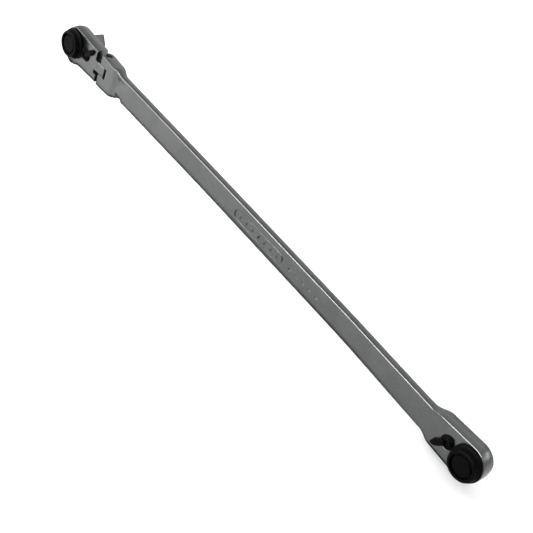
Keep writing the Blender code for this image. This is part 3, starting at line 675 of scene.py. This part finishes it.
def finger_wheel(side, x):
    """Flange, ribbed tapered flank, rounded rim and a deep groove round the cap."""
    def ribbed(radius, depth):
        def size(angle):
            wave = 0.5 + 0.5 * math.cos(RIBS * angle)
            return radius - depth * (1.0 - wave ** 0.6)
        return size

    profile = [(1.5, 1.1), (1.5, 4.75), (0.35, 4.75), (0.35, 7.25), (0.39, 7.43), (0.5, 7.58), (0.68, 7.68),
               (0.9, 7.7), (1.12, 7.66), (1.3, 7.55), (1.42, 7.38), (1.47, 7.2)]
    flank = [(1.5, 7.12, 0.0), (1.62, 7.1, 0.12), (1.85, 7.06, 0.3), (2.4, 6.95, 0.32), (3.0, 6.84, 0.32),
             (3.5, 6.74, 0.3), (3.72, 6.66, 0.14), (3.84, 6.58, 0.0)]
    face = [(3.98, 6.45), (4.12, 6.25), (4.2, 6.05), (4.24, 5.85), (4.25, 5.6), (4.23, 5.44), (4.16, 5.34),
            (4.02, 5.28), (2.9, 5.26), (2.62, 5.2), (2.6, 5.0), (2.6, 1.1)]
    levels = above_face(profile)
    levels += [(FACE_Y - h * MM, ribbed(r * MM, d * MM)) for h, r, d in flank]
    levels += above_face(face)
    wheel = turned(side + "_wheel_body", x, levels, BLACK, RIBS * 8, True, 50.0)
    stand_for(wheel, side + "_drive", "black_oxide", side + "_finger_wheel")

    disc = [(3.35, 2.3), (2.75, 2.3), (2.75, 4.2), (2.85, 4.3), (3.68, 4.3), (3.8, 4.26), (3.88, 4.16),
            (3.92, 4.02), (3.92, 3.6), (3.90, 2.0), (3.895, 0.6)]
    cap = turned(side + "_cap_body", x, above_face(disc), CAP_BLACK, 96)
    stand_for(cap, side + "_drive", "black_oxide", side + "_wheel_cap")


# ---------------------------------------------------------------- reversing levers
LEAF_START = 0.9 * MM
LEAF_END = 8.2 * MM
LEAF_LOW = 0.2 * MM
LEAF_HIGH = 1.5 * MM


def leaf_half(v):
    """Half the leaf's width, v of the way along it: it swells gently, then ends round."""
    if v > 0.56:
        return 1.42 * MM * math.sqrt(max(1.0 - ((v - 0.56) / 0.445) ** 2, 0.0))
    return (1.02 + 0.40 * math.sin(math.pi * 0.5 * v / 0.56)) * MM


def leaf(side, x, forward, across, steps=26):
    """The pointer, as cross-sections along its length, which sinks towards its tip."""
    rings = []
    for i in range(steps + 1):
        u = i / steps
        s = LEAF_START + (LEAF_END - LEAF_START) * (0.5 - 0.5
                                                    * math.cos(math.pi * u)) if i < steps else LEAF_END
        v = (s - LEAF_START) / (LEAF_END - LEAF_START)
        half = max(leaf_half(v), 0.05 * MM)
        rise = LEAF_HIGH - (1.0 - ease(v, 1.0, 0.72)) * (0.5 * MM)
        mid, size = (rise + LEAF_LOW) / 2.0, (rise - LEAF_LOW) / 2.0
        ring = []
        for k in range(16):
            angle = 2.0 * math.pi * k / 16
            c, t = math.cos(angle), math.sin(angle)
            shift = half * math.copysign(abs(c) ** 0.6, c)
            height = mid + size * math.copysign(abs(t) ** 0.7, t)
            ring.append(Vector((x, FACE_Y - height, AXIS_Z)) + forward * s + across * shift)
        rings.append(ring)
    return skin(side + "_leaf", rings, BLACK)


def crescent(side, x, heading, forward):
    """The raised crescent on the hub, open towards the pointer."""
    shift = forward * 0.45 * MM
    outline = []
    for i in range(25):
        angle = heading + math.radians(60.0 + 240.0 * i / 24)
        outline.append((x + 2.25 * MM * math.cos(angle), AXIS_Z + 2.25 * MM * math.sin(angle)))
    for i in range(25):
        angle = heading + math.radians(300.0 - 240.0 * i / 24)
        outline.append((x + shift.x + 1.62 * MM * math.cos(angle),
                        AXIS_Z + shift.z + 1.62 * MM * math.sin(angle)))
    return prism(side + "_ridge", outline,
                 ((FACE_Y - 0.6 * MM, 0.0), (FACE_Y - 1.25 * MM, 0.0), (FACE_Y - 1.38 * MM, -0.12 * MM)),
                 BLACK)


def lever(side, x, towards):
    """Round hub sunk in its well, with a raised crescent, and a leaf-shaped thumb pointer over the face."""
    heading = math.atan2(towards, towards)
    forward = Vector((math.cos(heading), 0.0, math.sin(heading)))
    across = Vector((-math.sin(heading), 0.0, math.cos(heading)))
    profile = ((0.62, 0.3), (0.66, 1.9), (0.66, 2.35), (0.62, 2.55), (0.5, 2.68), (0.3, 2.74), (0.16, 2.8),
               (0.12, 3.02), (0.02, 3.08), (-0.1, 3.1), (-0.75, 3.1), (-0.75, 1.6), (-4.2, 1.6))
    hub = turned(side + "_lever_body", x, above_face(profile), BLACK, 72)
    combine(hub, [leaf(side, x, forward, across)], "UNION")
    combine(hub, [crescent(side, x, heading, forward)], "UNION")
    centre = Vector((x, MID_Y, AXIS_Z))
    combine(hub, [rod(side + "_ball_hole", centre + forward * 0.9 * MM, centre - forward * 3.0 * MM,
                      ((0.0, 0.7 * MM), (1.0, 0.7 * MM)), BLACK, 24)])
    soften(hub, 0.06 * MM, 2)
    stand_for(hub, side + "_lever", "black_oxide", side + "_reverse_lever")


# ---------------------------------------------------------------- drive, socket and pin
TEETH = 36
TURN = math.radians(35.0)
SQUARE = 6.35 * MM
HEX_ACROSS = 6.45 * MM
BALL_WAY = -Vector((math.cos(TURN), 0.0, math.sin(TURN)))


def square_level(side_length, cut):
    """Square with rounded corners as a function of the angle."""
    def radius(angle):
        local = (angle - TURN) % (math.pi / 2.0) - math.pi / 4.0
        flat = side_length / 2.0 / math.cos(math.pi / 4.0 - abs(local))
        return min(flat, cut / math.cos(local * 0.6))
    return radius


def gear_levels():
    """The ratchet gear and its front journal, which both drives share."""
    def teeth(angle):
        phase = (angle * TEETH / (2.0 * math.pi)) % 1.0
        return (6.0 - 0.5 * (1.0 - abs(2.0 * phase - 1.0))) * MM
    return [(FACE_Y - 1.35 * MM, 4.4 * MM), (FACE_Y - 1.15 * MM, 4.6 * MM), (MID_Y - 1.75 * MM, 4.6 * MM),
            (MID_Y - 1.75 * MM, teeth), (MID_Y + 1.15 * MM, teeth), (MID_Y + 1.15 * MM, 5.0 * MM)]


def screw_hole(name, x):
    return turned(name, x, ((FACE_Y - 2.0 * MM, 1.0 * MM), (FACE_Y - 0.35 * MM, 1.0 * MM)), DRIVE_STEEL, 24)


def square_drive():
    """Gear, collar and a square with a small fillet at its root and a rounded end."""
    corner = SQUARE / 2.0 * 1.36
    levels = gear_levels() + [(MID_Y + 3.2 * MM, 4.95 * MM), (MID_Y + 3.5 * MM, 4.7 * MM),
                              (MID_Y + 3.6 * MM, 4.6 * MM)]
    for share in (0.0, 0.15, 0.4, 1.0):
        fillet = 0.25 * MM * (1.0 - share) ** 2
        levels.append((MID_Y + 3.6 * MM + 0.25 * MM * share,
                       square_level(SQUARE + 2 * fillet, corner + fillet)))
    for back, shrink in ((1.2, 0.0), (0.72, 0.16), (0.34, 0.5), (0.1, 0.98), (0.0, 1.5)):
        levels.append((DRIVE_END - back * MM, square_level(SQUARE - shrink * MM, corner - shrink * 0.6 * MM)))
    gear = turned("drive_body", FLEX_X, levels, DRIVE_STEEL, TEETH * 8, False, 28.0)
    place = Vector((FLEX_X, DRIVE_END - 3.6 * MM, AXIS_Z))
    start, end = place - BALL_WAY * 0.6 * MM, place + BALL_WAY * 4.0 * MM
    lip = (3.175 * MM + 0.6 * MM) / (4.6 * MM)
    hole = rod("ball_hole", start, end,
               ((0.0, 1.05 * MM), (lip - 0.03, 1.05 * MM), (lip + 0.02, 1.25 * MM), (1.0, 1.6 * MM)),
               DRIVE_STEEL, 36)
    combine(gear, [hole, screw_hole("drive_screw_hole", FLEX_X)])
    stand_for(gear, "flex_drive", "drive_steel", "flex_drive_gear")


def hex_socket():
    """Gear with a hex bit socket that is flared at its mouth."""
    levels = gear_levels() + [(MID_Y + 3.35 * MM, 5.0 * MM), (MID_Y + 3.5 * MM, 4.95 * MM),
                              (MID_Y + 3.6 * MM, 4.8 * MM)]
    gear = turned("socket_body", FIXED_X, levels, DRIVE_STEEL, TEETH * 8, False, 28.0)
    corner = HEX_ACROSS / math.sqrt(3.0)
    outline = []
    for i in range(6):
        angle = math.radians(90.0 + 60.0 * i)
        outline.append((FIXED_X + corner * math.cos(angle), AXIS_Z + corner * math.sin(angle)))
    top = MID_Y + 3.6 * MM
    socket = prism("hex", outline, ((FACE_Y + 0.2 * MM, 0.0), (top + MM, 0.0)), DRIVE_STEEL)
    mouth = turned("hex_mouth", FIXED_X,
                   ((top - 0.4 * MM, 3.25 * MM), (top, 3.95 * MM), (top + MM, 3.95 * MM)), DRIVE_STEEL, 72)
    groove = turned("hex_groove", FIXED_X, ((MID_Y + 1.6 * MM, 3.95 * MM), (MID_Y + 2.4 * MM, 3.95 * MM)),
                    DRIVE_STEEL, 72)
    combine(gear, [socket])
    combine(gear, [mouth, groove, screw_hole("socket_screw_hole", FIXED_X)])
    stand_for(gear, "fixed_drive", "drive_steel", "fixed_drive_gear")


def pin():
    """The pivot pin, with a dimple in each end."""
    low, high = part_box("pivot_pin")
    start, end = Vector((PIN.x, MID_Y, low[2])), Vector((PIN.x, MID_Y, high[2]))
    length = (end - start).length
    chamfer = 0.3 * MM / length
    dimple = 0.35 * MM / length
    levels = ((dimple, 0.25 * MM), (dimple * 0.8, 0.6 * MM), (0.0, 0.95 * MM), (0.0, 1.15 * MM),
              (chamfer, 1.45 * MM), (1.0 - chamfer, 1.45 * MM), (1.0, 1.15 * MM), (1.0, 0.95 * MM),
              (1.0 - dimple * 0.8, 0.6 * MM), (1.0 - dimple, 0.25 * MM))
    piece = rod("pin_body", start, end, levels, GROUND)
    stand_for(piece, "handle", "hardened_steel", "pivot_pin")


def ball():
    """A finer ball, with a small flat worn on its crown."""
    centre = middle("socket_ball")
    radius = extent("socket_ball").y / 2.0
    rings = []
    for i in range(25):
        angle = math.pi * (i + 0.15) / 24.3
        height = min(radius * math.cos(angle), radius * 0.985)
        size = radius * math.sin(angle)
        rings.append((0.5 + height / (2.0 * radius), max(size, 0.02 * MM)))
    piece = rod("ball_body", centre - BALL_WAY * radius, centre + BALL_WAY * radius, rings, BRIGHT, 40)
    stand_for(piece, "socket_ball", "hardened_steel", "socket_ball")


def ball_spring():
    """The wire coil behind the ball, at one fixed length."""
    side = Vector((0.0, 1.0, 0.0))
    other = BALL_WAY.cross(side)
    wire, radius, steps = 0.13 * MM, 0.6 * MM, 80
    low = middle("socket_ball") - BALL_WAY * 3.1 * MM
    length = 3.1 * MM - extent("socket_ball").y / 2.0 - 0.05 * MM
    rings = []
    for i in range(steps + 1):
        angle = math.radians(18.0 * i)
        away = math.cos(angle) * side + math.sin(angle) * other
        spot = low + BALL_WAY * (wire + (length - 2.0 * wire) * i / steps) + away * (radius - wire)
        around = [math.radians(36.0 * k) for k in range(10)]
        rings.append([spot + wire * (math.cos(a) * away + math.sin(a) * BALL_WAY) for a in around])
    coil = skin("ball_spring_coil", rings, BRIGHT)
    stand_for(coil, "flex_drive", "spring_steel", "socket_ball_spring")
    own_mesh(coil)


handle()
flex_head()
finger_wheel("fixed", FIXED_X)
finger_wheel("flex", FLEX_X)
lever("fixed", FIXED_LEVER_X, -1.0)
lever("flex", FLEX_LEVER_X, 1.0)
square_drive()
hex_socket()
pin()
ball()
ball_spring()

CARRIED = {"hardened_steel": GROUND, "spring_steel": BRIGHT, "drive_steel": DRIVE_STEEL,
           "black_oxide": BLACK, "satin_forging": CHROME}
for entry in frame["record"]["subparts"]:
    node = frame["nodes"][entry["node"]]
    for material_slot in node.material_slots:
        material_slot.material = CARRIED[entry["material_slot"]]


# ---------------------------------------------------------------- floor, light and camera
def floor():
    n = Nodes("pale_floor")
    fine = n.noise(n.stretched((1.0, 1.0, 1.0)), 0.02, 3.0)
    n.link(n.mix(fine, (0.90, 0.90, 0.90), (0.93, 0.93, 0.93)), n.shader.inputs["Base Color"])
    n.shader.inputs["Roughness"].default_value = 0.9
    n.shader.inputs["Specular IOR Level"].default_value = 0.1
    bm = bmesh.new()
    bmesh.ops.create_grid(bm, x_segments=8, y_segments=8, size=6.0)
    obj = finish_mesh("floor", bm, n.mat)


def painted_shade_card():
    """Painted shade: a dark strip on the floor below the tool, standing in for its shadow there, seen only in
    its reflections, which draws its lower edges.
    """
    n = Nodes("painted_shade_card")
    grain = n.noise(n.stretched((1.0, 1.0, 1.0)), 0.2, 2.0)
    # near-black colour of the painted shade standing in for the tool's shadow on the floor
    n.link(n.mix(grain, (0.010, 0.010, 0.010), (0.014, 0.014, 0.014)), n.shader.inputs["Base Color"])
    n.shader.inputs["Roughness"].default_value = 0.9
    bm = bmesh.new()
    bmesh.ops.create_grid(bm, x_segments=30, y_segments=1, size=0.5)
    bmesh.ops.scale(bm, vec=(0.300, 0.011, 1.0), verts=bm.verts)
    bmesh.ops.translate(bm, vec=(0.0, MID_Y, 0.2 * MM), verts=bm.verts)
    obj = finish_mesh("painted_shade_card", bm, n.mat)
    obj.visible_camera = False
    obj.visible_diffuse = False
    obj.visible_shadow = False


def area_light(name, place, target, size_x, size_y, energy, lights_floor=True):
    """A soft light. One that leaves the floor alone only shows in reflections."""
    light = bpy.data.lights.new(name, "AREA")
    light.shape = "RECTANGLE"
    light.size = size_x
    light.size_y = size_y
    light.energy = energy
    obj = bpy.data.objects.new(name, light)
    obj.location = place
    obj.rotation_euler = (Vector(target) - Vector(place)).to_track_quat("-Z", "Z").to_euler()
    obj.visible_diffuse = lights_floor
    light.use_shadow = not lights_floor
    bpy.context.scene.collection.objects.link(obj)


def studio():
    """Even light all round, a strip that draws the ridges, and soft lights behind and at both ends."""
    world = bpy.data.worlds.new("studio")
    world.use_nodes = True
    background = world.node_tree.nodes["Background"]
    background.inputs["Color"].default_value = (0.98, 0.985, 0.985, 1.0)
    background.inputs["Strength"].default_value = 0.80
    bpy.context.scene.world = world
    area_light("strip", (0.05, -0.62, 0.66), (0.05, 0.0, 0.01), 1.0, 0.16, 21.0, False)
    area_light("back", (-0.5, 0.9, 0.8), (0.0, 0.0, 0.01), 1.8, 0.6, 2.0, False)
    area_light("far_side", (-0.45, -0.3, 0.35), (-0.18, -0.05, 0.0), 0.5, 0.5, 7.5)
    area_light("end", (0.64, 0.71, 0.50), (0.14, 0.0, 0.01), 0.45, 0.30, 1.5, False)


def camera():
    """A long lens, high in front of the fixed head, turned so that the bar runs from corner to corner."""
    right = Vector((0.6058, 0.7286, 0.3196)).normalized()
    up = Vector((-0.6573, 0.2320, 0.7170))
    back = right.cross(up).normalized()
    up = back.cross(right).normalized()
    near = Vector((FIXED_X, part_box("fixed_finger_wheel")[0][1], AXIS_Z))
    place = near + Vector((17.57, -65.28, 61.98)) * 4.25 * MM
    data = bpy.data.cameras.new("camera")
    data.lens = 67.5
    data.sensor_width = 36.0
    data.clip_start = 0.01
    obj = bpy.data.objects.new("camera", data)
    obj.matrix_world = Matrix(((right.x, up.x, back.x, place.x), (right.y, up.y, back.y, place.y),
                               (right.z, up.z, back.z, place.z), (0.0, 0.0, 0.0, 1.0)))
    bpy.context.scene.collection.objects.link(obj)
    bpy.context.scene.camera = obj


floor()
painted_shade_card()
studio()
camera()
bpy.context.scene.view_settings.view_transform = "Standard"
